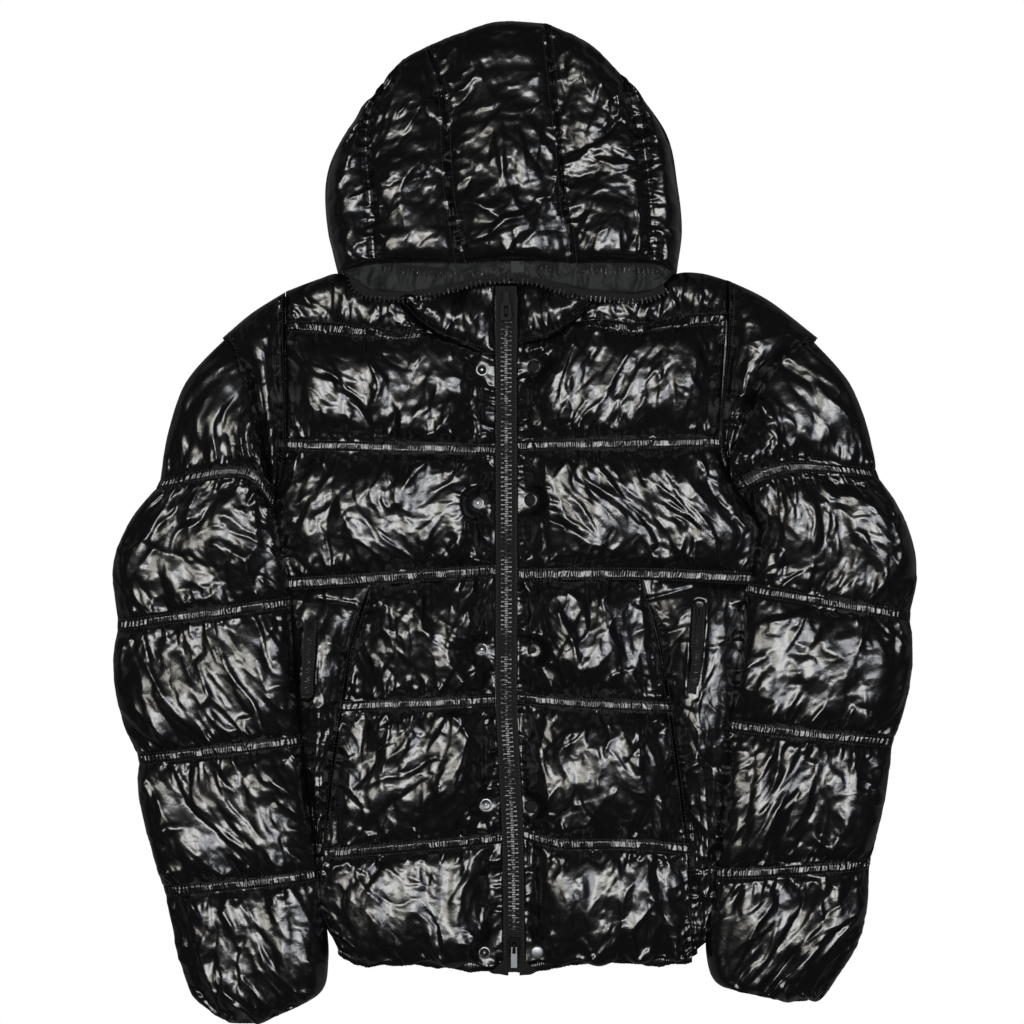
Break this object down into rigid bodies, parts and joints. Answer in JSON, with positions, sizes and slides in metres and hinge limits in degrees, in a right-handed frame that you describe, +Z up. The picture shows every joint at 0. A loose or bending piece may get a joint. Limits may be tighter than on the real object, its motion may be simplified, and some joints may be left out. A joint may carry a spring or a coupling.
{
  "type": "puffer jacket",
  "caption": "Hooded down jacket laid flat on its back, quilted in wide gathered channels, with a two-way front zip between press studs and a hood that has a zip round its opening",
  "frame": {"origin": "centre of the bounding box in plan, on the surface that the jacket lies on", "axes": "+Y from hem to hood, +X towards the wearer's left, +Z up from the surface"},
  "size_m": [0.8005, 1.0039, 0.0812],
  "materials": {
    "shell": "high-gloss black nylon, finely creased",
    "lining": "matte dark grey lining cloth",
    "zip_tape": "matte black woven tape",
    "zip_teeth": "moulded black plastic",
    "elastic": "matte black gathered elastic",
    "black_metal": "black coated metal, satin",
    "snap_metal": "dark nickel"
  },
  "bodies": {
    "jacket": {"armhole_panel_L": "shell", "armhole_panel_R": "shell", "back": "shell", "bottom_slider": "black_metal", "collar_L": "shell", "collar_R": "shell", "cuff_L": "elastic", "cuff_R": "elastic", "front_lower_L": "shell", "front_lower_R": "shell", "front_upper_L": "shell", "front_upper_R": "shell", "hem_binding_L": "shell", "hem_binding_R": "shell", "hem_binding_back": "shell", "hood_back": "shell", "hood_centre": "shell", "hood_lining": "lining", "hood_side_L": "shell", "hood_side_R": "shell", "hood_tape_lower_L": "zip_tape", "hood_tape_lower_R": "zip_tape", "hood_tape_upper_L": "zip_tape", "hood_tape_upper_R": "zip_tape", "hood_teeth_lower_L": "zip_teeth", "hood_teeth_lower_R": "zip_teeth", "hood_teeth_upper_L": "zip_teeth", "hood_teeth_upper_R": "zip_teeth", "hood_zip_end_tab": "zip_tape", "pocket_L_slider": "black_metal", "pocket_R_slider": "black_metal", "pocket_zip_L": "zip_tape", "pocket_zip_R": "zip_tape", "side_panel_L": "shell", "side_panel_R": "shell", "sleeve_top_L": "shell", "sleeve_top_R": "shell", "sleeve_under_L": "shell", "sleeve_under_R": "shell", "snap_cap_1": "black_metal", "snap_cap_2": "black_metal", "snap_cap_3": "black_metal", "snap_cap_4": "black_metal", "snap_cap_5": "black_metal", "snap_stud_1": "snap_metal", "snap_stud_2": "snap_metal", "snap_stud_3": "snap_metal", "snap_stud_4": "snap_metal", "snap_stud_5": "snap_metal", "top_slider": "black_metal", "yoke_L": "shell", "yoke_R": "shell", "zip_tape_L": "zip_tape", "zip_tape_R": "zip_tape", "zip_teeth": "zip_teeth"},
    "bottom_pull": {"bottom_pull": "black_metal"},
    "pocket_L_pull": {"pocket_L_pull": "black_metal"},
    "pocket_R_pull": {"pocket_R_pull": "black_metal"},
    "top_pull": {"top_pull": "black_metal"}
  },
  "joints": [
    {"name": "bottom_pull_hinge", "type": "hinge", "parent": "jacket", "child": "bottom_pull", "pos_m": [-0.001, -0.424, 0.043], "axis": [-1, 0, 0], "range_deg": [0, 150]},
    {"name": "pocket_L_pull_hinge", "type": "hinge", "parent": "jacket", "child": "pocket_L_pull", "pos_m": [0.18258, -0.08949, 0.05217], "axis": [-1, 0, 0], "range_deg": [0, 150]},
    {"name": "pocket_R_pull_hinge", "type": "hinge", "parent": "jacket", "child": "pocket_R_pull", "pos_m": [-0.20321, -0.10241, 0.05427], "axis": [-1, 0, 0], "range_deg": [0, 150]},
    {"name": "top_pull_hinge", "type": "hinge", "parent": "jacket", "child": "top_pull", "pos_m": [-0.00895, 0.21, 0.043], "axis": [1, 0, 0], "range_deg": [0, 150]}
  ]
}
